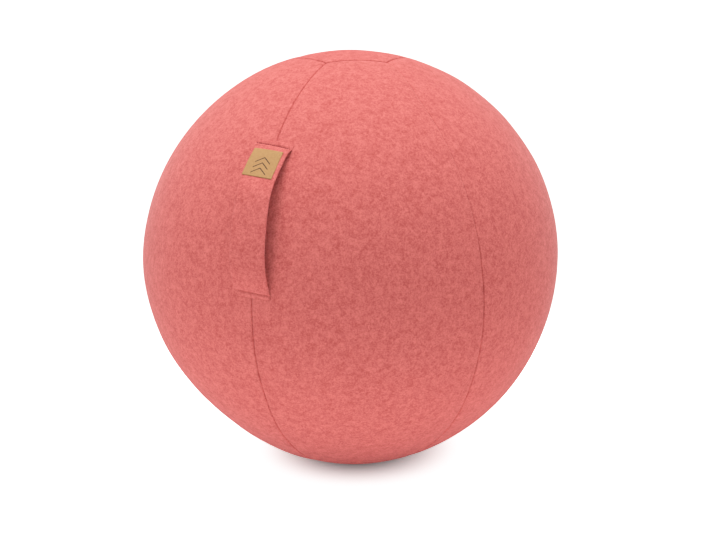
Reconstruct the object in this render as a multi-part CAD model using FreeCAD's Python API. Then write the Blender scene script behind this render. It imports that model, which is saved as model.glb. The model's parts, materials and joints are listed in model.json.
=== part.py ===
import FreeCAD, Part
import math
import os

# Sitting ball: an inflated inner ball in a zipped felt cover of six gores and two caps,
# with a carry strap sewn over one seam.
# Millimetres and degrees. The origin is the middle of the flat patch on the floor, +Z is up.
# The carry strap faces -Y and the zip runs down the +Y side.

# Cover
ball_radius = 325.0  # over the felt, so a 65 cm ball
contact_radius = 40.0  # flat patch that the weight presses onto the floor
panel_count = 6
cap_apothem = 79.0  # middle of the cap to the middle of one side
cap_flat_radius = 30.0  # the slack middle of the domed cap, which lies flat
felt_thickness = 2.5
seam_allowance = 10.0  # width of the sewn edge turned inwards

# Inner ball and its valve
bladder_clearance = 0.3
bladder_wall = 1.0
valve_latitude = -30.0
valve_bore_radius = 3.2
valve_boss_radius = 10.0
valve_boss_depth = 16.0
plug_head_radius = 8.0
plug_head_thickness = 1.9
plug_recess = 0.3  # head lies this far under the ball's skin
plug_stem_length = 11.0
plug_stem_clearance = 0.05
plug_head_clearance = 0.3

# Zip
zip_top_latitude = 4.0
zip_bottom_latitude = -62.0
zip_slot_half_width = 6.0  # felt edge to the middle of the zip
tape_under_felt = 0.25  # gap between the felt's inside and the tape
tape_thickness = 0.5
tape_inner_edge = 1.6
tape_outer_edge = 15.0
tape_overrun = 18.0  # tape past the last tooth at each end
tooth_pitch = 2.5
tooth_width = 0.9
tooth_over_tape = 0.65  # how far a tooth stands out on each face of the tape
tooth_reach = 0.8  # how far a tooth crosses the middle line
tooth_root = 3.2
stop_length = 2.6

# Zip slider
slider_length = 11.0
slider_half_width = 4.9
slider_rear_half_width = 4.3
slider_shoulder_start = 0.4  # where the full width begins, as a share of the half length
slider_shoulder_end = 0.7
slider_nose_inset = 1.6
slider_plate = 0.8
slider_side_clearance = 0.3
tooth_clearance = 0.3
tape_clearance = 0.2
wedge_half_width = 1.3
wedge_point_half_width = 0.3
wedge_point = 0.6  # from the slider's middle towards its nose
wedge_shoulder = 0.6  # widest place, as a share of the half length
wedge_back_share = 0.7  # width at the nose, as a share of the widest
wedge_back_gap = 0.2
bridge_half_width = 1.0
bridge_half_length = 3.2
bridge_wall = 0.8
bridge_height = 2.5
bridge_shoulder_height = 0.6  # where its ends begin to slope, as a share of its height
bridge_top_share = 0.7  # flat top, as a share of its length

# Zip pull
pull_thickness = 1.0
pull_half_width = 3.0
pull_length = 27.0
pull_clearance = 0.3
pull_leg_width = 1.0  # on each side of the bridge
pull_pin_forward = 0.8  # the bar through the bridge, from the slider's middle
grip_hole_share = 0.45  # radius of the tab's hole, as a share of its half width

# Carry strap, in its own plane: along the strap and outwards from the ball's centre
strap_latitude = 24.0
strap_lean = 0.9  # the top end tilts towards -X
strap_width = 54.0
strap_thickness = 2.5
strap_half_chord = 103.0  # middle of the strap to the line where it leaves the cover
strap_rise = 40.0  # highest point over the straight line between the two ends
strap_sewn_length = 9.0
strap_seat = 0.1
strap_joint = 86.0  # where the free loop ends and each sewn end begins
strap_joint_gap = 0.3

# Label and stitches
label_width = 48.0
label_length = 46.5
label_thickness = 0.8
label_offset = -2.8  # across the strap
label_top_gap = 8.0  # stitch line to the label's upper edge
stitch_length = 3.4
stitch_pitch = 4.2
stitch_thickness = 0.7
stitch_margin = 4.0  # from the strap's long edge to the first stitch

V = FreeCAD.Vector
across = V(1, 0, 0)
up = V(0, 0, 1)

half_sector = 180.0 / panel_count
centre = V(0, 0, math.sqrt(ball_radius**2 - contact_radius**2))
top_height = centre.z + math.sqrt(ball_radius**2 - cap_flat_radius**2)

# Depths under the felt's outside: tape, teeth and the slider's lowest face
tape_top = felt_thickness + tape_under_felt
tape_depths = (tape_top, tape_top + tape_thickness)
tooth_depths = (tape_depths[0] - tooth_over_tape, tape_depths[1] + tooth_over_tape)
slider_depth = tooth_depths[1] + tooth_clearance + slider_plate
bladder_depth = max(2 * felt_thickness, slider_depth) + bladder_clearance
bladder_radius = ball_radius - bladder_depth
far = 2 * ball_radius

# Cuts reach past what they cut: through the felt and its turned-in edge, and past a face
past_fold = 3 * felt_thickness
spare = 1.0


def save(name, shape):
    shape.exportStep(os.path.join("parts", name + ".step"))
    print(f"{name}: {len(shape.Solids)} solids, {shape.Volume:.0f} mm3, valid {shape.isValid()}")


def degrees_along(length):
    """The angle at the ball's centre that an arc of this length on the felt takes."""
    return math.degrees(length / ball_radius)


def polygon(points):
    return Part.Face(Part.makePolygon(points + points[:1]))


def ball_inside(depth):
    """The ball a given depth under the felt's outside, flat on the floor and at the top."""
    radius = ball_radius - depth
    low, high = depth, top_height - depth
    low_radius = math.sqrt(max(radius**2 - (centre.z - low) ** 2, 0))
    high_radius = math.sqrt(radius**2 - (high - centre.z) ** 2)
    side = Part.Arc(V(low_radius, 0, low), centre + V(radius, 0, 0), V(high_radius, 0, high))
    profile = Part.Wire(
        [
            Part.makeLine(V(0, 0, high), V(0, 0, low)),
            Part.makeLine(V(0, 0, low), V(low_radius, 0, low)),
            side.toShape(),
            Part.makeLine(V(high_radius, 0, high), V(0, 0, high)),
        ]
    )
    return Part.Face(profile).revolve(V(), up, 360)


def gore_prism(inset):
    """A tall wedge between two seams and outside the caps, drawn in by inset on each side."""
    edge = cap_apothem + inset
    lean = math.tan(math.radians(half_sector))
    inward = inset / math.cos(math.radians(half_sector))
    near, wide = edge * lean - inward, far * lean - inward
    points = [V(edge, -near, -far), V(far, -wide, -far), V(far, wide, -far), V(edge, near, -far)]
    return polygon(points).extrude(V(0, 0, 3 * far))


def cap_prism(inset, low, high):
    corner = (cap_apothem - inset) / math.cos(math.radians(half_sector))
    angles = [math.radians(half_sector * (2 * k + 1)) for k in range(panel_count)]
    points = [V(corner * math.cos(a), corner * math.sin(a), low) for a in angles]
    return polygon(points).extrude(V(0, 0, high - low))


def sewn_piece(felt, fold, prism, inner_prism):
    """One cut piece of felt with its seam allowance turned in under its own edges."""
    return felt.common(prism).fuse(fold.common(prism.cut(inner_prism))).removeSplitter()


def facing(shape, longitude):
    """Turns a shape built towards +X to a longitude, counted from -Y towards +X."""
    return shape.rotated(V(), up, longitude - 90)


def seam_bar(outline, low_latitude, high_latitude):
    """A bar bent along the zip: outline is (across, depth), swept between two latitudes."""
    face = polygon([V(x, ball_radius - depth, 0) for x, depth in outline])
    face.rotate(V(), across, low_latitude)
    bar = face.revolve(V(), across, high_latitude - low_latitude)
    return bar.translated(centre)


def rectangle(x_range, depths):
    (x0, x1), (d0, d1) = x_range, depths
    return [(x0, d0), (x1, d0), (x1, d1), (x0, d1)]


def on_tape(inner_x, side):
    """The outline of a tooth or stop that grips one tape, reaching inwards to inner_x."""
    (top, bottom), (tape_top, tape_bottom) = tooth_depths, tape_depths
    half = [
        (inner_x, top),
        (tooth_root, top),
        (tooth_root, tape_top),
        (tape_inner_edge, tape_top),
        (tape_inner_edge, tape_bottom),
        (tooth_root, tape_bottom),
        (tooth_root, bottom),
        (inner_x, bottom),
    ]
    return [(side * x, depth) for x, depth in half]


def slab(points, low, high):
    """A flat plate in the slider's own frame: x across, y up the zip, z outwards."""
    return polygon([V(x, y, low) for x, y in points]).extrude(V(0, 0, high - low))


def mirrored_outline(right_half):
    return right_half + [(-x, y) for x, y in reversed(right_half)]


def at_latitude(shape, latitude):
    """Sets a shape built in the slider's frame on the felt's outside, its y up the zip."""
    placed = shape.rotated(V(), up, 180).translated(V(0, 0, ball_radius))
    placed.rotate(V(), across, latitude - 90)
    return placed.translated(centre)


def cover_pieces():
    felt = ball_inside(0).cut(ball_inside(felt_thickness))
    fold = ball_inside(felt_thickness).cut(ball_inside(2 * felt_thickness))
    top = (cap_prism(inset, centre.z, 2 * far) for inset in (0, seam_allowance))
    bottom = (cap_prism(inset, -far, centre.z) for inset in (0, seam_allowance))
    pieces = {
        "top_cap": facing(sewn_piece(felt, fold, *top), half_sector),
        "bottom_cap": facing(sewn_piece(felt, fold, *bottom), half_sector),
    }
    gore = sewn_piece(felt, fold, gore_prism(0), gore_prism(seam_allowance))
    for k in range(panel_count):
        pieces[f"cover_panel_{k + 1}"] = facing(gore, half_sector * (2 * k + 1))
    ends = (
        zip_bottom_latitude - degrees_along(tape_overrun),
        zip_top_latitude + degrees_along(tape_overrun),
    )
    slot_sides = (-zip_slot_half_width, zip_slot_half_width)
    slot = seam_bar(rectangle(slot_sides, (-spare, past_fold)), *ends)
    bed_half = tape_outer_edge + spare
    bed = seam_bar(
        rectangle((-bed_half, bed_half), (felt_thickness, past_fold)),
        ends[0] - degrees_along(spare),
        ends[1] + degrees_along(spare),
    )
    for k in (panel_count // 2, panel_count // 2 + 1):
        pieces[f"cover_panel_{k}"] = pieces[f"cover_panel_{k}"].cut(slot).cut(bed)
    return pieces


def inner_ball():
    """The air-filled ball, pressed flat under the top cap, with its valve and stopper."""
    roof = top_height - bladder_depth - centre.z
    box = Part.makeBox(far, far, far, V(-ball_radius, -ball_radius, roof - far))
    outside = Part.makeSphere(bladder_radius).common(box)
    inside_box = box.translated(V(0, 0, -bladder_wall))
    skin = outside.cut(Part.makeSphere(bladder_radius - bladder_wall).common(inside_box))

    def along_valve(radius, low, high):
        """A cylinder on the valve's axis, measured inwards from the ball's skin."""
        cylinder = Part.makeCylinder(radius, high - low, V(0, 0, bladder_radius - high))
        return cylinder.rotated(V(), across, valve_latitude - 90)

    seat = plug_recess + plug_head_thickness
    boss = along_valve(valve_boss_radius, 0, valve_boss_depth).common(outside)
    recess = along_valve(plug_head_radius + plug_head_clearance, -spare, seat)
    bore = along_valve(valve_bore_radius, 0, valve_boss_depth + spare)
    head = along_valve(plug_head_radius, plug_recess, seat)
    stem = along_valve(valve_bore_radius - plug_stem_clearance, seat, seat + plug_stem_length)
    return {
        "bladder": skin.fuse(boss).cut(recess).cut(bore).translated(centre),
        "valve_plug": head.fuse(stem).translated(centre),
    }


def zip_chain():
    """The two tapes, their teeth and the stops at both ends."""
    low_end = zip_bottom_latitude - degrees_along(tape_overrun)
    high_end = zip_top_latitude + degrees_along(tape_overrun)
    half_tooth = degrees_along(tooth_width / 2)
    count = int((zip_top_latitude - zip_bottom_latitude) / degrees_along(tooth_pitch))
    pieces = {}
    stops = []
    for name, side in (("left", 1), ("right", -1)):
        edges = (side * tape_inner_edge, side * tape_outer_edge)
        pieces[f"zip_tape_{name}"] = seam_bar(rectangle(edges, tape_depths), low_end, high_end)
        outline = on_tape(-tooth_reach, side)
        first = 0.5 if side > 0 else 1.0  # the two rows mesh half a pitch apart
        teeth = []
        for k in range(count):
            latitude = zip_bottom_latitude + degrees_along((k + first) * tooth_pitch)
            teeth.append(seam_bar(outline, latitude - half_tooth, latitude + half_tooth))
        pieces[f"zip_teeth_{name}"] = Part.makeCompound(teeth)
        low = slider_latitude + degrees_along(slider_length / 2 + slider_side_clearance)
        stops.append(seam_bar(on_tape(tooth_reach, side), low, low + degrees_along(stop_length)))
    pieces["zip_top_stops"] = Part.makeCompound(stops)
    bottom = seam_bar(
        rectangle((-tooth_root, tooth_root), tooth_depths),
        bottom_stop_top - degrees_along(stop_length),
        bottom_stop_top,
    )
    bottom = bottom.cut(pieces["zip_tape_left"]).cut(pieces["zip_tape_right"])
    pieces["zip_bottom_stop"] = bottom
    return pieces


def zip_slider():
    """The slider: two plates joined by a wedge, lips that hold the tapes, and a bridge."""
    rear, front = -slider_length / 2, slider_length / 2
    plate = mirrored_outline(
        [
            (slider_rear_half_width, rear),
            (slider_half_width, front * slider_shoulder_start),
            (slider_half_width, front * slider_shoulder_end),
            (slider_half_width - slider_nose_inset, front),
        ]
    )
    roof = -(tooth_depths[0] - tooth_clearance)
    floor = -(tooth_depths[1] + tooth_clearance)
    lip_half = tooth_root + tooth_clearance
    channel = mirrored_outline([(lip_half, rear - spare), (lip_half, front + spare)])
    wedge = mirrored_outline(
        [
            (wedge_point_half_width, wedge_point),
            (wedge_half_width, front * wedge_shoulder),
            (wedge_half_width * wedge_back_share, front - wedge_back_gap),
        ]
    )
    body = slab(plate, floor - slider_plate, roof + slider_plate).cut(slab(channel, floor, roof))
    wide = 2 * slider_half_width
    tape_slot = mirrored_outline([(wide, rear - spare), (wide, front + spare)])
    slot_low = -(tape_depths[1] + tape_clearance)
    slot_high = -(tape_depths[0] - tape_clearance)
    body = body.cut(slab(tape_slot, slot_low, slot_high)).fuse(slab(wedge, floor, roof))
    deck = deck_height
    shoulder = deck + bridge_height * bridge_shoulder_height
    flat_half = bridge_half_length * bridge_top_share
    outside = [
        (-bridge_half_length, deck),
        (-bridge_half_length, shoulder),
        (-flat_half, deck + bridge_height),
        (flat_half, deck + bridge_height),
        (bridge_half_length, shoulder),
        (bridge_half_length, deck),
    ]
    window_half = bridge_half_length - bridge_wall
    window = [
        (-window_half, deck),
        (-window_half, deck + bridge_height - bridge_wall),
        (window_half, deck + bridge_height - bridge_wall),
        (window_half, deck),
    ]
    sides = []
    for outline, half in ((outside, bridge_half_width), (window, bridge_half_width + spare)):
        face = polygon([V(-half, y, z) for y, z in outline])
        sides.append(face.extrude(V(2 * half, 0, 0)))
    body = body.fuse(sides[0].cut(sides[1])).removeSplitter()
    return at_latitude(body, slider_latitude)


def zip_pull():
    """The pull: a bar through the bridge, a leg each side of it, and a rounded tab."""
    half = pull_thickness / 2
    leg_inside = bridge_half_width + pull_clearance
    leg_outside = leg_inside + pull_leg_width
    eye_end = -(bridge_half_length + pull_pin_forward + pull_clearance)
    tab_end = pull_half_width - pull_length
    shoulder = slab(
        mirrored_outline([(leg_outside, half), (pull_half_width, eye_end), (pull_half_width, tab_end)]),
        -half,
        half,
    )
    tip = Part.makeCylinder(pull_half_width, pull_thickness, V(0, tab_end, -half))
    eye = slab(mirrored_outline([(leg_inside, eye_end), (leg_inside, -half)]), -pull_thickness, half * 2)
    tab = shoulder.fuse(tip).cut(eye)
    hole_radius = pull_half_width * grip_hole_share
    grip_hole = Part.makeCylinder(hole_radius, 4 * half, V(0, tab_end, -2 * half))
    tab = tab.cut(grip_hole).removeSplitter()
    return at_latitude(tab.translated(V(0, pull_pin_forward, pull_pin_height)), slider_latitude)


def strap_frame(shape):
    """From the strap's own frame (x across, y along, z outwards) to its place on the ball."""
    placed = shape.rotated(V(), up, strap_lean)
    placed.rotate(V(), across, 90 - strap_latitude)
    return placed.translated(centre)


def tube_about_width(radius, thickness, height, width):
    """A hoop around an axis that lies across the strap at a height above the ball's centre."""
    start = V(-width / 2, 0, height)
    outer = Part.makeCylinder(radius + thickness, width, start, across)
    return outer.cut(Part.makeCylinder(radius, width, start, across))


def between(shape, low, high):
    """The outer half of a strap hoop that lies between two places along it."""
    box = Part.makeBox(4 * strap_width, high - low, far, V(-2 * strap_width, low, loop_height))
    return shape.common(box)


def carry_strap():
    loop = tube_about_width(loop_radius, strap_thickness, loop_height, strap_width)
    seat = tube_about_width(seat_radius, strap_thickness, 0, strap_width)
    ball = Part.makeCylinder(seat_radius, strap_width, V(-strap_width / 2, 0, 0), across)
    end_of_loop = strap_joint + strap_joint_gap
    end = between(loop, end_of_loop, strap_half_chord + strap_thickness).cut(ball)
    pad = between(seat, strap_half_chord - strap_thickness, strap_half_chord + strap_sewn_length)
    top_end = end.fuse(pad).removeSplitter()
    bottom_end = top_end.mirror(V(), V(0, 1, 0))
    label_hoop = tube_about_width(
        loop_radius + strap_thickness, label_thickness, loop_height, label_width
    ).translated(V(label_offset, 0, 0))
    high = strap_half_chord - label_top_gap
    low = loop_radius * math.sin(math.asin(high / loop_radius) - label_length / loop_radius)
    stitches = []
    row_half = strap_width / 2 - stitch_margin
    count = int(2 * row_half / stitch_pitch) + 1
    row_angle = math.degrees(math.asin((strap_half_chord + strap_sewn_length / 2) / seat_radius))
    top = seat_radius + strap_thickness
    for side in (-1, 1):
        for k in range(count):
            x = (k - (count - 1) / 2) * stitch_pitch
            stitch = Part.makeBox(
                stitch_length,
                stitch_thickness,
                stitch_thickness,
                V(x - stitch_length / 2, -stitch_thickness / 2, top),
            )
            stitches.append(stitch.rotated(V(), across, side * row_angle))
    pieces = {
        "handle_strap": between(loop, -strap_joint, strap_joint),
        "handle_top_end": top_end,
        "handle_bottom_end": bottom_end,
        "label_patch": between(label_hoop, low, high),
        "handle_stitching": Part.makeCompound(stitches),
    }
    return {name: strap_frame(shape) for name, shape in pieces.items()}


# Zip places that both the chain and the slider use
slider_latitude = zip_top_latitude
bottom_stop_top = zip_bottom_latitude
deck_height = tooth_clearance + slider_plate - tooth_depths[0]
pull_pin_height = deck_height + pull_clearance + pull_thickness / 2
slider_travel = (
    slider_latitude - bottom_stop_top - degrees_along(slider_length / 2 + slider_side_clearance)
)

# Strap places, in the strap's own plane
seat_radius = ball_radius + strap_seat
chord_height = math.sqrt(seat_radius**2 - strap_half_chord**2)
loop_radius = (strap_half_chord**2 + strap_rise**2) / (2 * strap_rise)
loop_height = chord_height + strap_rise - loop_radius

os.makedirs("parts", exist_ok=True)
pieces = {}
pieces.update(cover_pieces())
pieces.update(inner_ball())
pieces.update(zip_chain())
pieces["zip_slider_body"] = zip_slider()
pieces["zip_pull_tab"] = zip_pull()
pieces.update(carry_strap())
for name, shape in pieces.items():
    save(name, shape)

print(f"ball centre height {centre.z:.4f}, top {top_height:.4f}")
print(f"zip travel {slider_travel:.3f} degrees from latitude {slider_latitude:.3f}")
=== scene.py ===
import json
import math

import bpy
import numpy as np
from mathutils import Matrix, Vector


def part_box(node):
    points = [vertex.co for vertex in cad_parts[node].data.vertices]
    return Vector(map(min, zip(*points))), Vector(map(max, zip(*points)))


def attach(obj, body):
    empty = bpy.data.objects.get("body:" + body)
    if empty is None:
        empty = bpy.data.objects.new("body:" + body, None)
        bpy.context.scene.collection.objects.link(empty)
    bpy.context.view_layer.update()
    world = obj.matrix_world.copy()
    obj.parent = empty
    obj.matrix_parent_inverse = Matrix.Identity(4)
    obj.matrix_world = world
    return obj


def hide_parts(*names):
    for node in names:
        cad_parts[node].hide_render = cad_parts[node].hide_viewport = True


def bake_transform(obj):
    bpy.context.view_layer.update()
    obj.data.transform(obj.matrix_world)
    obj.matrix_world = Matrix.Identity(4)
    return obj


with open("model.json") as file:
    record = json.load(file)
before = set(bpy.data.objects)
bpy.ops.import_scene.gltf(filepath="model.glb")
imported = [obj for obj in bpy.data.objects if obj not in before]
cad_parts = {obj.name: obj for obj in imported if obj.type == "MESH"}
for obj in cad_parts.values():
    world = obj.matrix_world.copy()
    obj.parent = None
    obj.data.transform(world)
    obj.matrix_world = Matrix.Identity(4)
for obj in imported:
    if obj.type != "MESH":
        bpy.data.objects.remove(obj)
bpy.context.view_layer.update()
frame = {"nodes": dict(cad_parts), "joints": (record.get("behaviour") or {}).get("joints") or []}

# Sitting ball: coral felt cover of six gores and two caps, carry strap, label and rear zip.
# Lengths are in metres, worked out from the frame or written as a number of millimetres.
# Longitudes run from -Y towards +X, and seams are counted that way from the strap's, number 0.
mm = 0.001
joints = {joint["name"]: joint for joint in frame["joints"]}
ball_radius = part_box("cover_panel_2")[1].x
centre = np.array(joints["zip_travel"]["pos_m"], float)
cap_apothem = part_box("top_cap")[1].x
gore_count = 6
half_gore = math.pi / gore_count
zip_seam = gore_count // 2
felt_thickness = 2.3 * mm

# Photograph's frame and the camera's place
picture_width, picture_height = 716, 540
ball_in_picture = (351.4, 256.3)
focal_pixels = 1350.6
sensor_width = 36.0  # in mm, as Blender takes it
camera_distance = 6.61 * ball_radius
camera_azimuth, camera_elevation, camera_roll = 25.5, 15.06, 1.36

# Places where the pumped-up cover stands proud or sinks:
# longitude, latitude, height in mm, and spread in degrees
unevenness = [
    (-64.5, 0.0, 3.2, 17.0),
    (-48.5, -45.0, -7.5, 17.0),
    (54.0, -72.0, 2.2, 15.0),
    (112.0, -27.0, -1.8, 20.0),
    (150.0, 20.0, 1.5, 24.0),
    (-150.0, -20.0, -2.0, 24.0),
]
# Slight waves of the felt all over: how fast each turns along X, Y and Z, and where it starts
felt_waves = ((7, 3, 5, 0.3), (-11, 6, 4, 1.7), (5, -13, 9, 4.1), (17, 11, -14, 2.6))
felt_wave_height = 0.22 * mm
floor_softness = 0.8 * mm  # how softly the cover bends round its flat patch on the floor

# Seams: a narrow groove where the felt rolls in, in a wide shallow hollow
groove_half_width = 1.0 * mm
groove_depth = 1.9 * mm
hollow_half_width = 7 * mm
hollow_depth = 0.5 * mm
cap_seam_tightness = 1.4
cap_drift = (3.0, 1.5)  # degrees the top cap sits away from the camera's side and to its right
drift_reach = (18.0, 38.0)  # degrees from the top where the drift is whole and where it ends
shallow_seam = 1  # its upper half lies shallow, where the gores beside it pull flat
shallow_latitudes = (5.0, 30.0)  # where it starts to lie shallow and where it does so fully
shallow_loss = 0.65  # share of its depth that is lost
seam_wander_height = 0.5 * mm
seam_wander_fade = 1.2  # the wander ends at 90 / 1.2 degrees of latitude
# Two waves of a seam's wander: degrees for each degree of latitude, for each seam, and share
seam_wander_waves = ((5.1, 77, 1.0), (13.3, 131, 0.6))

# Zip opening on the seam at the back, from latitude to latitude
zip_low, zip_high = -65.2, 7.2
zip_edge_offset = 6 * mm
zip_closing = 2.2  # degrees over which the felt edges come together at each end
zip_edge_rounding = 0.6 * mm  # drop of the felt's cut edge, which fades over the reach
zip_edge_reach = 0.5 * mm

# Rows of points of a cover piece: distances from its edge, and how many lie between them
near_edge = np.array([0.05, 0.25, 0.5, 0.8, 1.2, 1.7, 2.4, 3.5, 5, 7.5, 11, 16, 22]) * mm
gore_columns, gore_rows = 22, 76
cap_side_columns, cap_rings = 18, 16
cap_tip_radius = 1 * mm

# Carry strap: a felt band with a free loop between two sewn ends
strap_thickness = 2.5 * mm
strap_half_chord = 103 * mm
strap_rise = 40 * mm
strap_sewn_length = 9 * mm
strap_seat = 0.1 * mm  # clearance between the cover and the sewn ends
strap_cut = 75 * mm  # the two strap pieces meet here, under the label
strap_ripple = 0.5 * mm
# Where the loop lies lower than an arc: place along the strap, spread and depth, in mm
strap_sinks = [(66.0, 30.0, 6.0), (-8.0, 58.0, 9.0)]
# How the strap was sewn on: place along it in mm, sideways shift of its middle in mm,
# slant of its cross lines in degrees, and half width in mm
strap_drift = np.array(
    [
        (-112, 0.5, 6.0, 27.0),
        (-103, 0.0, 6.0, 27.0),
        (-60, -2.0, 5.0, 27.0),
        (-20, -2.6, 5.0, 27.0),
        (20, -3.2, 5.5, 27.0),
        (52, -3.2, 6.5, 27.0),
        (92, 0.0, 6.8, 27.5),
        (103, -0.5, 8.6, 30.0),
        (112, -0.5, 8.6, 31.5),
    ]
)
# Rows of stitches: which end, thread thickness, and the thread's depth under the strap's
# middle as a share of the strap's thickness
strap_stitch_rows = ((-1, 0.6 * mm, 0.55), (1, 1.2 * mm, 0.30))

# Label on the strap
label_width = 48 * mm
label_length = 46.5 * mm
label_thickness = 0.8 * mm
label_offset = -2.8 * mm
label_top_gap = 8 * mm


# Small helpers

def linear(hex_colour):
    """sRGB hex to the linear red, green, blue and alpha that shaders take."""
    parts = [int(hex_colour[i : i + 2], 16) / 255 for i in (1, 3, 5)]
    return (*[c / 12.92 if c <= 0.04045 else ((c + 0.055) / 1.055) ** 2.4 for c in parts], 1.0)


def add(tree, kind, settings=None, **links):
    """Adds one shader node. Settings are its properties; links are its inputs, by name."""
    node = tree.nodes.new("ShaderNode" + kind)
    for name, value in (settings or {}).items():
        setattr(node, name, value)
    for name, value in links.items():
        key = int(name[1:]) if name[1:].isdigit() else name.replace("_", " ")
        socket = node.inputs[key]
        if isinstance(value, bpy.types.NodeSocket):
            tree.links.new(value, socket)
        else:
            socket.default_value = value
    return node


def new_material(name):
    """An empty material and its node tree."""
    material = bpy.data.materials.new(name)
    material.use_nodes = True
    material.node_tree.nodes.clear()
    return material, material.node_tree


def direction(longitude, latitude):
    """Unit vector; longitude is counted from -Y towards +X, both in degrees."""
    lon, lat = math.radians(longitude), math.radians(latitude)
    return np.array([math.cos(lat) * math.sin(lon), -math.cos(lat) * math.cos(lon), math.sin(lat)])


def smooth_step(value, low, high):
    """0 up to low, 1 from high on, and a soft rise between."""
    t = np.clip((value - low) / (high - low), 0, 1)
    return t * t * (3 - 2 * t)


def make_piece(name, points, faces, material, body, uv=None):
    """A smooth-shaded mesh piece that rides on a body."""
    mesh = bpy.data.meshes.new(name)
    mesh.from_pydata([tuple(p) for p in points], [], faces)
    mesh.polygons.foreach_set("use_smooth", [True] * len(mesh.polygons))
    if uv is not None:
        layer = mesh.uv_layers.new(name="UVMap")
        corners = np.zeros(len(mesh.loops), int)
        mesh.loops.foreach_get("vertex_index", corners)
        layer.data.foreach_set("uv", np.asarray(uv, float)[corners].ravel())
    mesh.materials.append(material)
    mesh.validate()
    piece = bpy.data.objects.new(name, mesh)
    bpy.context.scene.collection.objects.link(piece)
    if body:
        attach(piece, body)
    return piece


def shell_faces(rows, columns):
    """Faces of a closed sheet: an outer grid, an inner grid after it, and the rim between."""
    inner = rows * columns
    faces = []
    for i in range(rows - 1):
        for j in range(columns - 1):
            a, b = i * columns + j, i * columns + j + 1
            c, d = b + columns, a + columns
            faces.append((a, b, c, d))
            faces.append((inner + d, inner + c, inner + b, inner + a))
    for j in range(columns - 1):
        last = (rows - 1) * columns
        faces.append((j + 1, j, inner + j, inner + j + 1))
        faces.append((last + j, last + j + 1, inner + last + j + 1, inner + last + j))
    for i in range(rows - 1):
        a, b = i * columns, (i + 1) * columns
        c, d = a + columns - 1, b + columns - 1
        faces.append((a, b, inner + b, inner + a))
        faces.append((d, c, inner + c, inner + d))
    return faces


def disc_faces(rows, columns):
    """Faces of a closed round sheet: outer rings, inner rings after them, rim and middles."""
    inner = rows * columns
    faces = []
    for i in range(rows - 1):
        for j in range(columns - 1):
            a, b = i * columns + j, i * columns + (j + 1) % (columns - 1)
            c, d = b + columns, a + columns
            faces.append((a, b, c, d))
            faces.append((inner + d, inner + c, inner + b, inner + a))
    last = (rows - 1) * columns
    for j in range(columns - 1):
        k = (j + 1) % (columns - 1)
        faces.append((k, j, inner + j, inner + k))
        faces.append((last + j, last + k, 2 * inner))
        faces.append((inner + last + k, inner + last + j, 2 * inner + 1))
    return faces


# Materials

def needled_felt(name, dark, light):
    """Needled wool-mix felt: loose fibres of two near shades, punched into one cloth.

    The eye sees a matte, faintly clouded surface with a little pale fuzz where it turns away.
    Real fibres are too fine to show, so they are drawn 2 mm across and their nap 0.9 mm.
    """
    cloud_size, clump_size, fibre_size, nap_size = 11 * mm, 4.2 * mm, 2.0 * mm, 0.9 * mm
    clump_share, fibre_share = 1.2, 1.6
    darkest, lightest = 1.40, 2.40
    material, tree = new_material(name)
    place = add(tree, "TexCoord").outputs["Object"]
    cloud = add(tree, "TexNoise", Vector=place, Scale=1 / cloud_size, Detail=1.0, Roughness=0.5)
    clump = add(tree, "TexNoise", Vector=place, Scale=1 / clump_size, Detail=1.0, Roughness=0.6)
    fibre = add(tree, "TexNoise", Vector=place, Scale=1 / fibre_size, Detail=1.0, Roughness=0.6)
    mixed = add(tree, "Math", {"operation": "MULTIPLY_ADD"}, _0=clump.outputs[0], _1=clump_share,
                _2=cloud.outputs[0]).outputs[0]
    mixed = add(tree, "Math", {"operation": "MULTIPLY_ADD"}, _0=fibre.outputs[0], _1=fibre_share,
                _2=mixed).outputs[0]
    shade = add(tree, "MapRange", Value=mixed, From_Min=darkest, From_Max=lightest)
    tint = add(tree, "Mix", {"data_type": "RGBA"}, Factor=shade.outputs[0])
    tint.inputs[6].default_value = linear(dark)
    tint.inputs[7].default_value = linear(light)
    nap = add(tree, "TexNoise", Vector=place, Scale=1 / nap_size, Detail=3.0, Roughness=0.7)
    soft = add(tree, "Bump", Strength=0.35, Distance=1.2 * mm, Height=clump.outputs[0])
    rough = add(tree, "Bump", Strength=0.5, Distance=0.45 * mm, Height=nap.outputs[0],
                Normal=soft.outputs[0])
    surface = add(tree, "BsdfPrincipled", Base_Color=tint.outputs[2], Roughness=0.92,
                  Normal=rough.outputs[0])
    surface.inputs["Specular IOR Level"].default_value = 0.0
    surface.inputs["Sheen Weight"].default_value = 0.12
    surface.inputs["Sheen Roughness"].default_value = 0.4
    surface.inputs["Sheen Tint"].default_value = linear("#FFFFFF")
    add(tree, "OutputMaterial", Surface=surface.outputs[0])
    return material


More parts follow.
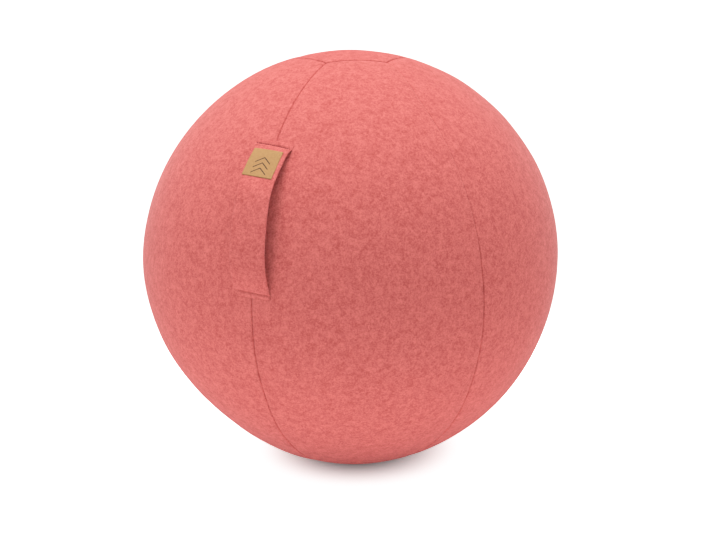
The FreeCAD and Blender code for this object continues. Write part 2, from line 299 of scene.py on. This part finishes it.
def washable_paper(name):
    """Washable kraft paper: wood pulp bound with latex, pressed thin and washed.

    The eye sees a tan, faintly mottled and creased card with a low shine, printed in brown.
    """
    pulp_size, crease_size = 3 * mm, 0.7 * mm
    material, tree = new_material(name)
    place = add(tree, "TexCoord")
    pulp = add(tree, "TexNoise", Vector=place.outputs["Object"], Scale=1 / pulp_size, Detail=5.0,
               Roughness=0.65)
    paper = add(tree, "Mix", {"data_type": "RGBA"}, Factor=pulp.outputs[0])
    paper.inputs[6].default_value = linear("#8E6438")
    paper.inputs[7].default_value = linear("#AE8452")
    motif = chevrons(tree, place.outputs["UV"])
    printed = add(tree, "Mix", {"data_type": "RGBA"}, Factor=motif, _6=paper.outputs[2])
    printed.inputs[7].default_value = linear("#3E1E08")
    crease = add(tree, "TexNoise", Vector=place.outputs["Object"], Scale=1 / crease_size, Detail=2.0)
    bump = add(tree, "Bump", Strength=0.25, Distance=0.3 * mm, Height=crease.outputs[0])
    surface = add(tree, "BsdfPrincipled", Base_Color=printed.outputs[2], Roughness=0.7,
                  Normal=bump.outputs[0])
    surface.inputs["Specular IOR Level"].default_value = 0.35
    add(tree, "OutputMaterial", Surface=surface.outputs[0])
    return material


def chevrons(tree, uv):
    """Mask of a plain printed motif: three nested chevrons in the middle of the label."""
    steepness, half_spacing, half_line = 0.75, 4.5 * mm, 0.85 * mm
    half_width, half_height = 12 * mm, 11 * mm
    split = add(tree, "SeparateXYZ", Vector=uv)
    across = add(tree, "Math", {"operation": "ABSOLUTE"}, _0=split.outputs[0]).outputs[0]
    slope = add(tree, "Math", {"operation": "MULTIPLY_ADD"}, _0=across, _1=steepness,
                _2=split.outputs[1]).outputs[0]
    wave = add(tree, "Math", {"operation": "PINGPONG"}, _0=slope, _1=half_spacing).outputs[0]
    line = add(tree, "Math", {"operation": "LESS_THAN"}, _0=wave, _1=half_line).outputs[0]
    narrow = add(tree, "Math", {"operation": "LESS_THAN"}, _0=across, _1=half_width).outputs[0]
    height = add(tree, "Math", {"operation": "ABSOLUTE"}, _0=slope).outputs[0]
    low = add(tree, "Math", {"operation": "LESS_THAN"}, _0=height, _1=half_height).outputs[0]
    both = add(tree, "Math", {"operation": "MULTIPLY"}, _0=line, _1=narrow).outputs[0]
    return add(tree, "Math", {"operation": "MULTIPLY"}, _0=both, _1=low).outputs[0]


band_spacing = 0.35  # distance between a wave texture's diagonal bands at scale 1, about


def woven_tape(name, ridge, valley_shade):
    """Woven polyester zip tape, in a fine twill.

    The eye sees close slanting ribs with a slight shine, with painted shade in the valleys between
    them. They are drawn 0.9 mm apart, because the real 0.4 mm wouldn't show.
    """
    rib_spacing = 0.9 * mm
    material, tree = new_material(name)
    place = add(tree, "TexCoord").outputs["Object"]
    weave = add(tree, "TexWave", {"bands_direction": "DIAGONAL"}, Vector=place,
                Scale=band_spacing / rib_spacing, Distortion=0.6, Detail=1.0)
    # Painted shade: the valleys between the ribs take the darker colour.
    tint = add(tree, "Mix", {"data_type": "RGBA"}, Factor=weave.outputs[0])
    tint.inputs[6].default_value = linear(valley_shade)
    tint.inputs[7].default_value = linear(ridge)
    bump = add(tree, "Bump", Strength=0.5, Distance=0.25 * mm, Height=weave.outputs[0])
    surface = add(tree, "BsdfPrincipled", Base_Color=tint.outputs[2], Roughness=0.75,
                  Normal=bump.outputs[0])
    surface.inputs["Sheen Weight"].default_value = 0.15
    add(tree, "OutputMaterial", Surface=surface.outputs[0])
    return material


def spun_thread(name, colour):
    """Spun polyester sewing thread, two plies twisted together.

    The eye sees a dull thread with small slanting highlights, one for each turn of the twist.
    """
    twist_spacing = 0.6 * mm
    material, tree = new_material(name)
    place = add(tree, "TexCoord").outputs["Object"]
    twist = add(tree, "TexWave", {"bands_direction": "DIAGONAL"}, Vector=place,
                Scale=band_spacing / twist_spacing, Distortion=1.0)
    rough = add(tree, "MapRange", Value=twist.outputs[0], To_Min=0.5, To_Max=0.75)
    bump = add(tree, "Bump", Strength=0.4, Distance=0.2 * mm, Height=twist.outputs[0])
    surface = add(tree, "BsdfPrincipled", Base_Color=linear(colour),
                  Roughness=rough.outputs[0], Normal=bump.outputs[0])
    add(tree, "OutputMaterial", Surface=surface.outputs[0])
    return material


def fine_grained(name, colour, roughness, grain, metal=0.0):
    """A smooth hard or rubbery surface whose shine varies a little over grains of a given size."""
    roughness_change = 0.08
    material, tree = new_material(name)
    place = add(tree, "TexCoord").outputs["Object"]
    noise = add(tree, "TexNoise", Vector=place, Scale=1 / grain, Detail=4.0, Roughness=0.6)
    rough = add(tree, "MapRange", Value=noise.outputs[0], To_Min=roughness - roughness_change,
                To_Max=roughness + roughness_change)
    bump = add(tree, "Bump", Strength=0.15, Distance=0.1 * mm, Height=noise.outputs[0])
    surface = add(tree, "BsdfPrincipled", Base_Color=linear(colour), Metallic=metal,
                  Roughness=rough.outputs[0], Normal=bump.outputs[0])
    add(tree, "OutputMaterial", Surface=surface.outputs[0])
    return material


def moulded_acetal():
    """Injection-moulded acetal, dyed to match the felt: hard teeth with small soft highlights."""
    return fine_grained("coral_moulded_acetal", "#B9504B", 0.42, 2 * mm)


def plated_zinc():
    """Die-cast zinc plated with nickel: a light warm metal with a slightly clouded shine."""
    return fine_grained("nickel_plated_cast_zinc", "#B9B7B2", 0.32, 1.5 * mm, metal=1.0)


def soft_vinyl():
    """Soft PVC, turned in a hot mould: grey rubbery skin with a broad satin shine."""
    return fine_grained("grey_soft_vinyl", "#7A7C80", 0.45, 4 * mm)


def moulded_polythene():
    """Injection-moulded polythene: white, waxy and dull, as a valve stopper is."""
    return fine_grained("white_moulded_polythene", "#E6E4DE", 0.5, 3 * mm)


cover_felt = needled_felt("coral_needled_felt", "#AF514D", "#D26E69")
kraft_paper = washable_paper("tan_washable_paper")
zip_tape = woven_tape("coral_woven_zip_tape", "#C65F5A", "#8E3533")
seam_thread = spun_thread("dark_coral_sewing_thread", "#8A2B30")
cover_thread = spun_thread("coral_sewing_thread", "#D0655F")
tooth_plastic = moulded_acetal()
cast_zinc = plated_zinc()
ball_vinyl = soft_vinyl()
stopper_plastic = moulded_polythene()


# Cover: the form that all its pieces share

def flatten_on_floor(points):
    """Presses what would be under the floor flat, with a soft bend round the patch."""
    z = points[:, 2]
    points[:, 2] = (z + np.sqrt(z * z + floor_softness * floor_softness)) / 2
    return points


def skin_radius(units):
    """Distance from the ball's centre to the felt's outside in each direction."""
    radius = np.full(len(units), ball_radius)
    for longitude, latitude, height, spread in unevenness:
        cosine = np.clip(units @ direction(longitude, latitude), -1, 1)
        radius += height * mm * np.exp(-((np.degrees(np.arccos(cosine)) / spread) ** 2))
    for a, b, c, phase in felt_waves:
        radius += felt_wave_height * np.sin(units @ np.array([a, b, c]) + phase)
    return radius


def seam_dip(distance, tightness=1.0):
    """How far the felt rolls in towards a seam, by its distance from the seam."""
    roll = groove_depth * tightness * np.exp(-((distance / groove_half_width) ** 2))
    return roll + hollow_depth * np.exp(-((distance / hollow_half_width) ** 2))


def drifted(units):
    """The cap was sewn a little off the top: turns directions near the top towards its place."""
    away, aside = np.radians(cap_drift)
    back, right = direction(camera_azimuth, 0), direction(camera_azimuth + 90, 0)
    turn = -right * away - back * aside
    from_top = np.degrees(np.arccos(np.clip(units[:, 2], -1, 1)))
    share = 1 - smooth_step(from_top, *drift_reach)
    moved = units + np.cross(turn, units) * share[:, None]
    return moved / np.linalg.norm(moved, axis=1)[:, None]


def seam_tightness(seam, latitude):
    """1 for a seam at its full depth, less where it lies shallow."""
    shallow = smooth_step(latitude, *shallow_latitudes) * (seam == shallow_seam)
    return 1 - shallow_loss * shallow


def zip_share(latitude):
    """1 along the zip, 0 away from it."""
    rise = smooth_step(latitude, zip_low, zip_low + zip_closing)
    return rise * (1 - smooth_step(latitude, zip_high - zip_closing, zip_high))


def seam_wander(seam, latitude):
    """A sewn seam is never quite straight: its sideways wander, but none along the zip's seam."""
    fade = np.cos(np.radians(np.clip(latitude * seam_wander_fade, -90, 90)))
    drift = sum(
        share * np.sin(np.radians(latitude * speed + seam * shift))
        for speed, shift, share in seam_wander_waves
    )
    return np.where(seam == zip_seam, 0.0, seam_wander_height * drift * fade)


def cap_edge_angle(azimuth):
    """Angle from the top to a cap's straight side, by the azimuth from that side's middle."""
    return np.arcsin(np.clip(cap_apothem / np.cos(azimuth) / ball_radius, 0, 1))


# Cover: gores and caps

def gore_grid(seams):
    """A gore's points as angles: from the top, from its middle line, and each seam's azimuth."""
    first_guess, passes = 0.999, 3
    n = len(near_edge)
    rows, columns = 2 * n + gore_rows, 2 * n + gore_columns
    middle_rows, middle_columns = slice(n, n + gore_rows), slice(n, n + gore_columns)
    share = np.linspace(-1, 1, gore_columns + 2)[1:-1]
    steps = np.linspace(0, 1, gore_rows + 2)[1:-1][:, None]
    across = np.concatenate([-np.ones(n), share, np.ones(n)])
    azimuth = np.tile(across * half_gore, (rows, 1)) * first_guess
    for _ in range(passes):
        top = cap_edge_angle(azimuth)
        bottom = math.pi - top
        colatitude = np.empty((rows, columns))
        colatitude[:n] = (top + near_edge[0] / ball_radius)[:n] + near_edge[:, None] / ball_radius
        colatitude[-n:] = bottom[-n:] - near_edge[::-1][:, None] / ball_radius
        first = top[middle_rows] + near_edge[-1] / ball_radius
        last = bottom[middle_rows] - near_edge[-1] / ball_radius
        colatitude[middle_rows] = first + (last - first) * steps
        latitude = 90 - np.degrees(colatitude)
        ring = ball_radius * np.sin(colatitude)
        limits = []
        for seam, sign in zip(seams, (-1, 1)):
            opening = zip_edge_offset * zip_share(latitude) * (seam == zip_seam)
            limits.append(sign * half_gore + (seam_wander(seam, latitude) - sign * opening) / ring)
        low_limit, high_limit = limits
        inset = near_edge[None, :] / ring[:, :1]
        azimuth = np.empty((rows, columns))
        azimuth[:, :n] = low_limit[:, :n] + inset
        azimuth[:, -n:] = high_limit[:, -n:] - inset[:, ::-1]
        left = low_limit[:, middle_columns] + inset[:, -1:]
        right = high_limit[:, middle_columns] - inset[:, -1:]
        azimuth[:, middle_columns] = left + (right - left) * (share + 1) / 2
    return colatitude, azimuth, limits


def gore_dip(colatitude, azimuth, limits, seams):
    """How far a gore's felt lies under the ball's form, beside its seams, caps and zip edge."""
    latitude = 90 - np.degrees(colatitude)
    ring = ball_radius * np.sin(colatitude)
    top = cap_edge_angle(azimuth)
    from_top = ball_radius * (colatitude - top)
    from_bottom = ball_radius * (math.pi - top - colatitude)
    dip = seam_dip(from_top, cap_seam_tightness) + seam_dip(from_bottom)
    for limit, sign, seam in zip(limits, (-1, 1), seams):
        distance = sign * (limit - azimuth) * ring
        open_share = zip_share(latitude) * (seam == zip_seam)
        cut_edge = zip_edge_rounding * np.exp(-((distance / zip_edge_reach) ** 2))
        sewn = seam_dip(distance, seam_tightness(seam, latitude))
        dip += sewn * (1 - open_share) + cut_edge * open_share
    return np.minimum(dip, groove_depth * cap_seam_tightness + hollow_depth)


def gore(number):
    """One gore: a closed sheet of felt between two seams and the two caps."""
    seams = (number - 1, number % gore_count)
    colatitude, azimuth, limits = gore_grid(seams)
    longitude = (2 * number - 1) * half_gore + azimuth
    level = np.sin(colatitude)
    units = np.stack([level * np.sin(longitude), -level * np.cos(longitude), np.cos(colatitude)], -1)
    units = drifted(units.reshape(-1, 3))
    outer = skin_radius(units) - gore_dip(colatitude, azimuth, limits, seams).ravel()
    outer = outer[:, None]
    points = np.concatenate([centre + units * outer, centre + units * (outer - felt_thickness)])
    flatten_on_floor(points)
    name, faces = f"cover_gore_{number}", shell_faces(*azimuth.shape)
    piece = make_piece(name, points, faces, cover_felt, "cover")
    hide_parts(f"cover_panel_{number}")


def cap(name, node, upward):
    """A six-sided end cap, domed like the ball; the bottom one is pressed flat on the floor."""
    columns = gore_count * cap_side_columns + 1
    around = np.linspace(0, 2 * math.pi, columns)
    sector = (around + half_gore) % (2 * half_gore) - half_gore
    edge = cap_apothem / np.cos(sector)
    inward = np.linspace(near_edge[-1], cap_apothem, cap_rings + 1)[1:]
    from_edge = np.concatenate([near_edge, inward])
    from_edge[-1] = cap_apothem - cap_tip_radius
    ring = edge[None, :] * (1 - from_edge[:, None] / cap_apothem)
    distance = np.repeat(from_edge[:, None], columns, axis=1)
    x, y = ring * np.cos(around), ring * np.sin(around)
    height = np.sqrt(ball_radius**2 - ring**2)
    flat = np.stack([x, y, height if upward else -height], -1).reshape(-1, 3)
    units = drifted(flat / np.linalg.norm(flat, axis=1)[:, None])
    dip = seam_dip(distance, cap_seam_tightness if upward else 1.0)
    outer = (skin_radius(units) - dip.ravel())[:, None]
    points = centre + units * outer
    inner = centre + units * (outer - felt_thickness)
    if not upward:
        inner, points = flatten_on_floor(inner), flatten_on_floor(points)
        inner[:, 2] = np.maximum(inner[:, 2], points[:, 2] + felt_thickness)
    middle = np.stack([points[-columns:].mean(0), inner[-columns:].mean(0)])
    faces = disc_faces(len(from_edge), columns)
    if not upward:
        faces = [face[::-1] for face in faces]
    everything = np.concatenate([points, inner, middle])
    piece = make_piece(name, everything, faces, cover_felt, "cover")
    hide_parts(node)


for number in range(1, gore_count + 1):
    gore(number)
cap("cover_top_cap", "top_cap", True)
cap("cover_bottom_cap", "bottom_cap", False)


# Carry strap, in its own frame: across, along, and outwards from the ball's centre

swing = joints["handle_swing"]
anchor = np.array(swing["pos_m"], float)
along = np.array(swing["axis"], float)
along /= np.linalg.norm(along)
outward = anchor - centre
outward -= along * (outward @ along)
outward /= np.linalg.norm(outward)
sideways = np.cross(along, outward)
seat_radius = ball_radius + strap_seat
chord_height = math.sqrt(seat_radius**2 - strap_half_chord**2)
loop_radius = (strap_half_chord**2 + strap_rise**2) / (2 * strap_rise)
loop_height = chord_height + strap_rise - loop_radius


def strap_place(local):
    """From the strap's own frame to the row frame."""
    local = np.asarray(local, float)
    return centre + local[:, :1] * sideways + local[:, 1:2] * along + local[:, 2:3] * outward


def smoothed(line, passes):
    """A line of points with its kinks eased; its ends stay."""
    line = line.copy()
    for _ in range(passes):
        line[1:-1] = (line[:-2] + 2 * line[1:-1] + line[2:]) / 4
    return line


def lengths_along(line):
    """Distance along a line from its first point to each of its points."""
    return np.concatenate([[0], np.cumsum(np.hypot(*np.diff(line, axis=0).T))])


def strap_path():
    """Middle line of the strap from its lower end to its upper end, as (along, outwards)."""
    end_points, loop_points, even_points, passes = 12, 160, 301, 8
    seat = seat_radius + strap_thickness / 2
    loop = loop_radius + strap_thickness / 2
    end = strap_half_chord + strap_sewn_length
    leave = math.asin(strap_half_chord / seat)
    tip = math.asin(end / seat)
    meet = math.asin(strap_half_chord / loop)
    pad = np.linspace(tip, leave, end_points)
    arc = np.linspace(-meet, meet, loop_points)[1:-1]
    loop_line = np.stack([loop * np.sin(arc), loop_height + loop * np.cos(arc)], -1)
    for middle, spread, sink in strap_sinks:
        loop_line[:, 1] -= sink * mm * np.exp(-(((loop_line[:, 0] / mm - middle) / spread) ** 2))
    lower_end = np.stack([-seat * np.sin(pad), seat * np.cos(pad)], -1)
    upper_end = np.stack([seat * np.sin(pad[::-1]), seat * np.cos(pad[::-1])], -1)
    path = np.concatenate([lower_end, loop_line, upper_end])
    length = lengths_along(path)
    even = np.linspace(0, length[-1], even_points)
    path = np.stack([np.interp(even, length, column) for column in path.T], -1)
    return smoothed(path, passes)


def strap_drift_along():
    """Sideways shift, slant and half width at each point of the strap's line."""
    passes = 60
    place = strap_line[:, 0] / mm
    columns = [np.interp(place, strap_drift[:, 0], column) for column in strap_drift.T[1:]]
    return smoothed(np.stack(columns, -1), passes)


strap_line = strap_path()
strap_length = lengths_along(strap_line)
tangents = np.gradient(strap_line, strap_length, axis=0)
tangents /= np.linalg.norm(tangents, axis=1)[:, None]
strap_normals = np.stack([-tangents[:, 1], tangents[:, 0]], -1)
drift = strap_drift_along()


def length_at(place):
    """Distance from the strap's lower end to a place given as its distance from the middle."""
    return float(np.interp(place, strap_line[:, 0], strap_length))


def follow(lengths, table):
    """Rows of a table that has one for each point of the strap's line, at given lengths."""
    return np.stack([np.interp(lengths, strap_length, column) for column in table.T], -1)


def strap_surface(length, x, rise):
    """Points on the strap: at a length along it, x across it and a rise over its middle plane."""
    lift_off = 30 * mm
    wave_across, wave_along = 17 * mm, 21 * mm
    x = np.asarray(x, float)
    slant = math.tan(math.radians(np.interp(length, strap_length, drift[:, 1])))
    lengths = length - slant * x
    place, normal = follow(lengths, strap_line), follow(lengths, strap_normals)
    side = follow(lengths, drift)[:, 0] * mm
    free = 1 - smooth_step(np.abs(place[:, 0]), strap_half_chord - lift_off, strap_half_chord)
    hug = (1 - free) * (x + side) ** 2 / (2 * ball_radius)
    ripple = strap_ripple * free * np.sin(x / wave_across + place[:, 0] / wave_along)
    up = rise - hug + ripple
    flat = place + normal * up[:, None]
    return strap_place(np.stack([x + side, flat[:, 0], flat[:, 1]], -1))


def band_outline(half_width, half_thickness):
    """Outline of a band cut across: flat faces and rounded cut edges."""
    flat_points, turn_points = 25, 5
    flat = np.linspace(-1, 1, flat_points) * (half_width - half_thickness)
    turn = np.radians(np.linspace(90, -90, turn_points + 2)[1:-1])
    start = half_width - half_thickness
    right = [(start + half_thickness * math.cos(t), half_thickness * math.sin(t)) for t in turn]
    top = [(x, half_thickness) for x in flat]
    bottom = [(x, -half_thickness) for x in flat[::-1]]
    left = [(-x, -y) for x, y in right]
    return np.array(top + right + bottom + left)


def band(name, lengths, offset, half_width, thickness, shift, material):
    """A band along the strap: offset is how far its middle lies outside the strap's."""
    rings, places = [], []
    for length, half, thick in zip(lengths, half_width, thickness):
        outline = band_outline(half, thick / 2)
        rings.append(strap_surface(length, outline[:, 0] + shift, outline[:, 1] + offset(thick)))
        places.append(np.stack([outline[:, 0], np.full(len(outline), length - lengths.mean())], -1))
    count = len(rings[0])
    faces = []
    for i in range(len(rings) - 1):
        for j in range(count):
            a, b = i * count + j, i * count + (j + 1) % count
            faces.append((a, b, b + count, a + count))
    faces.append(tuple(range(count))[::-1])
    faces.append(tuple(range((len(rings) - 1) * count, len(rings) * count)))
    points = np.concatenate(rings)
    return make_piece(name, points, faces, material, None, np.concatenate(places))


def strap_thickness_at(lengths):
    """Full thickness in the loop, pinched at each stitch line and thin in the sewn ends."""
    sewn_loss, end_loss, pinch_loss, pinch_reach = 0.5, 0.3, 0.3, 1.3 * mm
    past = np.abs(np.interp(lengths, strap_length, strap_line[:, 0])) - strap_half_chord
    sewn = smooth_step(past, -2 * mm, 1 * mm)
    end = smooth_step(past, 4 * mm, strap_sewn_length)
    pinch = np.exp(-(((past - 1 * mm) / pinch_reach) ** 2))
    return strap_thickness * (1 - sewn_loss * sewn - end_loss * end - pinch_loss * pinch)


def strap_piece(name, lengths, *nodes):
    """One of the two strap pieces, with rows of points at the given lengths along the strap."""
    halves = follow(lengths, drift)[:, 2] * mm
    thick = strap_thickness_at(lengths)
    piece = band(name, lengths, lambda t: (t - strap_thickness) / 2, halves, thick, 0, cover_felt)
    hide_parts(*nodes)
    return piece


def label_piece():
    """The label, which follows the strap under it."""
    rows = 40
    end = length_at(strap_half_chord - label_top_gap)
    lengths = np.linspace(end - label_length, end, rows)
    half_width = np.full(rows, label_width / 2)
    thickness = np.full(rows, label_thickness)
    label = band("label", lengths, lambda t: (strap_thickness + t) / 2, half_width, thickness,
                 label_offset, kraft_paper)
    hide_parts("label_patch")
    return label


def carry_strap():
    """Both strap pieces and the label, which bend where the loop leaves its sewn ends."""
    close, close_rows, loop_start, loop_rows, upper_rows = 16 * mm, 20, 19 * mm, 70, 15
    cut, whole = length_at(strap_cut), strap_length[-1]
    low = np.concatenate([np.linspace(0, close, close_rows), np.linspace(loop_start, cut, loop_rows)])
    upper_loop = np.linspace(cut, whole - close, upper_rows + 1)[:-1]
    high = np.concatenate([upper_loop, np.linspace(whole - close, whole, close_rows)])
    lower = strap_piece("carry_strap_lower", low, "handle_bottom_end", "handle_strap")
    upper = strap_piece("carry_strap_upper", high, "handle_top_end")
    label = label_piece()
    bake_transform(upper)
    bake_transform(label)
    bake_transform(lower)


carry_strap()


# Stitches

def stitch(start, end, lift, thickness):
    """One stitch: a thread that rises out of the felt, lies on it and dives in again."""
    sides, rings = 6, 7
    bow, sunk, thin_end = 1.1, 0.45, 0.55
    start, end, lift = (np.asarray(v, float) for v in (start, end, lift))
    line = end - start
    forward = line / np.linalg.norm(line)
    over = lift / np.linalg.norm(lift)
    beside = np.cross(forward, over)
    points, faces = [], []
    for i in range(rings):
        t = i / (rings - 1)
        rise = math.sin(math.pi * t)
        middle = start + line * t + over * thickness * (bow * rise - sunk)
        radius = thickness / 2 * (thin_end + (1 - thin_end) * rise)
        for j in range(sides):
            a = 2 * math.pi * j / sides
            points.append(middle + beside * radius * math.cos(a) + over * radius * math.sin(a))
    for i in range(rings - 1):
        for j in range(sides):
            a, b = i * sides + j, i * sides + (j + 1) % sides
            faces.append((a, a + sides, b + sides, b))
    faces.append(tuple(range(sides)))
    faces.append(tuple(range((rings - 1) * sides, rings * sides))[::-1])
    return points, faces


def stitching(name, stitches, material):
    """One piece of many stitches, each given by its ends, the way up and its thickness."""
    points, faces = [], []
    for start, end, lift, thickness in stitches:
        p, f = stitch(start, end, lift, thickness)
        faces.extend(tuple(len(points) + v for v in face) for face in f)
        points.extend(p)
    return make_piece(name, points, faces, material, "cover")


def handle_stitches():
    """A close row across each sewn end of the strap."""
    pitch, length, first_gap = 3.1 * mm, 2.7 * mm, 0.2 * mm
    from_fold, from_side = 1 * mm, 2 * mm
    stitches = []
    for end, thickness, depth in strap_stitch_rows:
        at = length_at(end * (strap_half_chord + from_fold))
        half = float(np.interp(at, strap_length, drift[:, 2])) * mm - from_side
        count = int(2 * half / pitch)
        for k in range(count):
            x0 = (k - count / 2) * pitch + first_gap
            start, stop = strap_surface(at, [x0, x0 + length], strap_thickness * -depth)
            stitches.append((start, stop, start - centre, thickness))
    piece = stitching("strap_stitches", stitches, seam_thread)
    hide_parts("handle_stitching")


def zip_stitches():
    """A straight row of topstitching down each felt edge of the zip."""
    pitch, length, thickness, from_edge = 4.0 * mm, 3.2 * mm, 0.6 * mm, 3.2 * mm
    stitches = []
    step = math.degrees(pitch / ball_radius)
    count = int((zip_high - zip_low - 2 * zip_closing) / step)
    for side in (-1, 1):
        x = side * (zip_edge_offset + from_edge)
        for k in range(count):
            low = zip_low + zip_closing + k * step
            ends = []
            for latitude in (low, low + math.degrees(length / ball_radius)):
                unit = direction(180, latitude) * math.sqrt(1 - (x / ball_radius) ** 2)
                unit[0] = x / ball_radius
                ends.append(centre + unit * skin_radius(unit[None])[0])
            stitches.append((*ends, ends[0] - centre, thickness))
    stitching("zip_topstitching", stitches, cover_thread)


handle_stitches()
zip_stitches()


# Pieces that keep their shape from the frame get their finish here

frame_finishes = {
    "zip_tape_left": zip_tape,
    "zip_tape_right": zip_tape,
    "zip_teeth_left": tooth_plastic,
    "zip_teeth_right": tooth_plastic,
    "zip_top_stops": tooth_plastic,
    "zip_bottom_stop": tooth_plastic,
    "zip_slider_body": cast_zinc,
    "zip_pull_tab": cast_zinc,
    "bladder": ball_vinyl,
    "valve_plug": stopper_plastic,
}
for node, material in frame_finishes.items():
    mesh = frame["nodes"][node].data
    mesh.materials.clear()
    mesh.materials.append(material)


# Floor, light and camera

# The floor glows in a soft ring round the ball. It lights the ball's underside, and to the camera it
# is a painted glow, stronger than that light, which lightens the ball's shadow on the floor.
# These are its strength as a light and as the camera sees it, and the radii where the ring starts, is
# full, fades and ends.
floor_glow, floor_glow_seen = 0.55, 2.0
glow_rings = (0.05, 0.24, 0.35, 0.90)
floor_half_size = 60.0
floor_speck = 16.7 * mm
# Soft lamps: name, degrees to the camera's right, height in degrees, strength, spread in degrees
softboxes = [
    ("overhead_softbox", 0.0, 89.0, 1.10, 60.0),
    ("back_softbox", 180.0, 75.0, 2.75, 35.0),
    ("left_high_softbox", -90.0, 65.0, 1.05, 35.0),
    ("right_high_softbox", 90.0, 65.0, 1.80, 35.0),
    ("left_front_softbox", -60.0, 35.0, 0.74, 35.0),
    ("left_side_softbox", -90.0, 15.0, 0.40, 60.0),
]
# Tone curve: straight up to the knee, and white at the last value
tone_knee, tone_white = 0.24, 1.46
tone_points = (tone_knee, 0.5, 0.75, 1.0, 1.25)
camera_reach = 200.0  # far enough to see the floor's edge


def white_floor_with_painted_glow(name):
    """Matte white acrylic sheet that glows in a ring round the ball: it lights the ball from below,
    and a painted glow, brighter to the camera, keeps it from darkening in the ball's shadow.
    """
    material, tree = new_material(name)
    place = add(tree, "TexCoord").outputs["Object"]
    speck = add(tree, "TexNoise", Vector=place, Scale=1 / floor_speck, Detail=3.0)
    tone = add(tree, "MapRange", Value=speck.outputs[0], To_Min=0.89, To_Max=0.91)
    surface = add(tree, "BsdfDiffuse", Color=tone.outputs[0], Roughness=0.5)
    away = add(tree, "VectorMath", {"operation": "LENGTH"}, _0=place).outputs["Value"]
    soft = {"interpolation_type": "SMOOTHSTEP"}
    start, full, fade, end = glow_rings
    # Painted glow: the camera sees the ring brighter than the light it gives, which lightens the
    # ball's shadow on the floor.
    seen = add(tree, "LightPath").outputs["Is Camera Ray"]
    strength = add(tree, "MapRange", Value=seen, To_Min=floor_glow, To_Max=floor_glow_seen)
    rise = add(tree, "MapRange", soft, Value=away, From_Min=start, From_Max=full,
               To_Max=strength.outputs[0])
    fall = add(tree, "MapRange", soft, Value=away, From_Min=fade, From_Max=end, To_Min=1.0,
               To_Max=0.0)
    glow = add(tree, "Math", {"operation": "MULTIPLY"}, _0=rise.outputs[0], _1=fall.outputs[0])
    lit = add(tree, "Emission", Strength=glow.outputs[0])
    both = add(tree, "AddShader", _0=surface.outputs[0], _1=lit.outputs[0])
    add(tree, "OutputMaterial", Surface=both.outputs[0])
    return material


def studio_floor():
    """A wide level floor."""
    size = floor_half_size
    corners = [(-size, -size, 0), (size, -size, 0), (size, size, 0), (-size, size, 0)]
    material = white_floor_with_painted_glow("matte_white_floor")
    floor = make_piece("studio_floor", corners, [(0, 1, 2, 3)], material, None)


def studio_air():
    """Air that only the camera sees, as grey: it gives no light."""
    world = bpy.data.worlds.new("studio_air")
    world.use_nodes = True
    tree = world.node_tree
    seen = add(tree, "LightPath").outputs["Is Camera Ray"]
    tree.links.new(seen, tree.nodes["Background"].inputs["Strength"])
    bpy.context.scene.world = world


def studio_lamps():
    """Softboxes round the ball, turned with the camera."""
    for name, turn, height, strength, spread in softboxes:
        lamp = bpy.data.lights.new(name, "SUN")
        lamp.energy = strength
        lamp.angle = math.radians(spread)
        holder = bpy.data.objects.new(name, lamp)
        back = direction(camera_azimuth + turn, height)
        holder.rotation_euler = Vector(back.tolist()).to_track_quat("Z", "Y").to_euler()
        bpy.context.scene.collection.objects.link(holder)


def photo_camera():
    """The photograph's camera: its place, roll, lens and shift."""
    azimuth, roll = math.radians(camera_azimuth), math.radians(camera_roll)
    back = direction(camera_azimuth, camera_elevation)
    right = np.array([math.cos(azimuth), math.sin(azimuth), 0.0])
    up = np.cross(back, right)
    turned_right = right * math.cos(roll) - up * math.sin(roll)
    turned_up = right * math.sin(roll) + up * math.cos(roll)
    lens = bpy.data.cameras.new("photo_camera")
    lens.sensor_width = sensor_width
    lens.lens = sensor_width * focal_pixels / picture_width
    lens.shift_x = (picture_width / 2 - ball_in_picture[0]) / picture_width
    lens.shift_y = (ball_in_picture[1] - picture_height / 2) / picture_width
    lens.clip_end = camera_reach
    holder = bpy.data.objects.new("photo_camera", lens)
    matrix = np.eye(4)
    matrix[:3, :3] = np.stack([turned_right, turned_up, back], 1)
    matrix[:3, 3] = centre + back * camera_distance
    holder.matrix_world = matrix.T.tolist()
    bpy.context.scene.collection.objects.link(holder)
    bpy.context.scene.camera = holder


def tone_curve():
    """The photograph's tone curve: straight in the darks, rolling off softly to white."""
    view = bpy.context.scene.view_settings
    view.view_transform = "Standard"
    view.use_curve_mapping = True
    curves = view.curve_mapping
    curves.white_level = (tone_white, tone_white, tone_white)
    power = (tone_white - tone_knee) / (1 - tone_knee)
    curve = curves.curves[3]
    curve.points[0].location = (0.0, 0.0)
    curve.points[1].location = (1.0, 1.0)
    for light in tone_points:
        left = 1 - (light - tone_knee) / (tone_white - tone_knee)
        curve.points.new(light / tone_white, 1 - (1 - tone_knee) * left**power)
    curves.update()


studio_floor()
studio_air()
studio_lamps()
photo_camera()
tone_curve()
